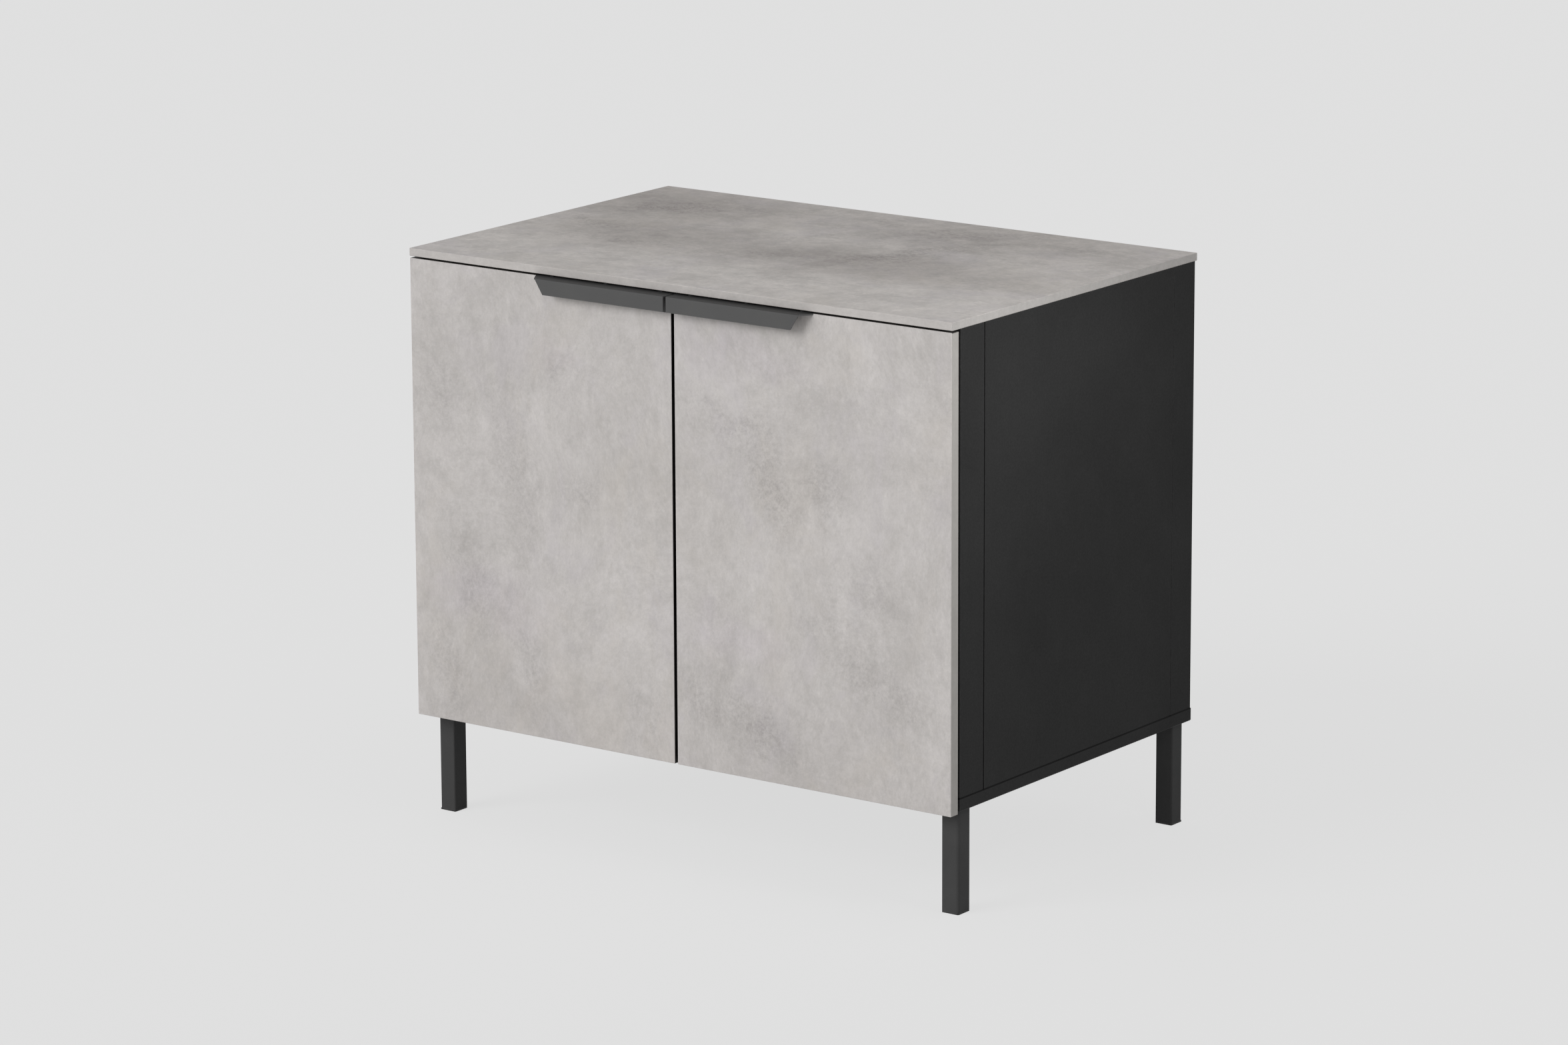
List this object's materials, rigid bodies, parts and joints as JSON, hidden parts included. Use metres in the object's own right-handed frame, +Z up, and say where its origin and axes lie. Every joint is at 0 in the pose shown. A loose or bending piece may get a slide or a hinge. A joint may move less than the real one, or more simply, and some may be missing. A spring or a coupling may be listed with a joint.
{
  "type": "kitchen base cabinet",
  "caption": "Free-standing kitchen base cabinet with a thin worktop, hinged doors with bent edge pulls, an inner shelf and square metal legs.",
  "frame": {"origin": "on the floor, halfway across the cabinet, and halfway between the handles' fronts and the worktop's back edge", "axes": "+X to the right as one faces the doors, +Y to the back, +Z up"},
  "size_m": [1, 0.6676, 0.89],
  "materials": {
    "worktop_laminate": "matte",
    "door_board": "matte",
    "carcass_board": "satin",
    "back_board": "satin",
    "powder_coated_steel": "satin",
    "handle_steel": "satin",
    "cap_plastic": "matte",
    "nickel_plated_steel": "satin",
    "zinc_plated_steel": "satin",
    "cast_zinc": "satin",
    "buffer_rubber": "matte",
    "beech_dowel": "matte"
  },
  "bodies": {
    "cabinet": {"worktop": "worktop_laminate", "bottom_board": "carcass_board", "left_front_post": "carcass_board", "left_side_panel": "carcass_board", "left_rear_post": "carcass_board", "right_front_post": "carcass_board", "right_side_panel": "carcass_board", "right_rear_post": "carcass_board", "front_rail": "carcass_board", "rear_rail": "carcass_board", "shelf": "carcass_board", "back_panel": "back_board", "front_left_leg": "powder_coated_steel", "front_right_leg": "powder_coated_steel", "rear_left_leg": "powder_coated_steel", "rear_right_leg": "powder_coated_steel", "front_left_leg_cap": "cap_plastic", "front_right_leg_cap": "cap_plastic", "rear_left_leg_cap": "cap_plastic", "rear_right_leg_cap": "cap_plastic", "shelf_pins": "nickel_plated_steel", "left_upper_hinge_arm": "nickel_plated_steel", "left_upper_hinge_plate": "nickel_plated_steel", "left_lower_hinge_arm": "nickel_plated_steel", "left_lower_hinge_plate": "nickel_plated_steel", "right_upper_hinge_arm": "nickel_plated_steel", "right_upper_hinge_plate": "nickel_plated_steel", "right_lower_hinge_arm": "nickel_plated_steel", "right_lower_hinge_plate": "nickel_plated_steel", "leg_screws": "zinc_plated_steel", "base_screws": "zinc_plated_steel", "cam_bolts": "zinc_plated_steel", "worktop_screws": "zinc_plated_steel", "back_screws": "zinc_plated_steel", "hinge_plate_screws": "zinc_plated_steel", "hinge_arm_screws": "zinc_plated_steel", "rail_dowels": "beech_dowel", "cam_locks": "cast_zinc"},
    "left_door": {"left_door": "door_board", "left_handle": "handle_steel", "left_handle_screws": "zinc_plated_steel", "left_door_buffers": "buffer_rubber", "left_cup_screws": "zinc_plated_steel", "left_upper_hinge_cup": "nickel_plated_steel", "left_upper_hinge_pin": "zinc_plated_steel", "left_lower_hinge_cup": "nickel_plated_steel", "left_lower_hinge_pin": "zinc_plated_steel"},
    "right_door": {"right_door": "door_board", "right_handle": "handle_steel", "right_handle_screws": "zinc_plated_steel", "right_door_buffers": "buffer_rubber", "right_cup_screws": "zinc_plated_steel", "right_upper_hinge_cup": "nickel_plated_steel", "right_upper_hinge_pin": "zinc_plated_steel", "right_lower_hinge_cup": "nickel_plated_steel", "right_lower_hinge_pin": "zinc_plated_steel"}
  },
  "joints": [
    {"name": "left_door_hinge", "type": "hinge", "parent": "cabinet", "child": "left_door", "pos_m": [-0.491, -0.30545, 0.517], "axis": [0, 0, -1], "range_deg": [0, 105]},
    {"name": "right_door_hinge", "type": "hinge", "parent": "cabinet", "child": "right_door", "pos_m": [0.491, -0.30545, 0.517], "axis": [0, 0, 1], "range_deg": [0, 105]}
  ]
}
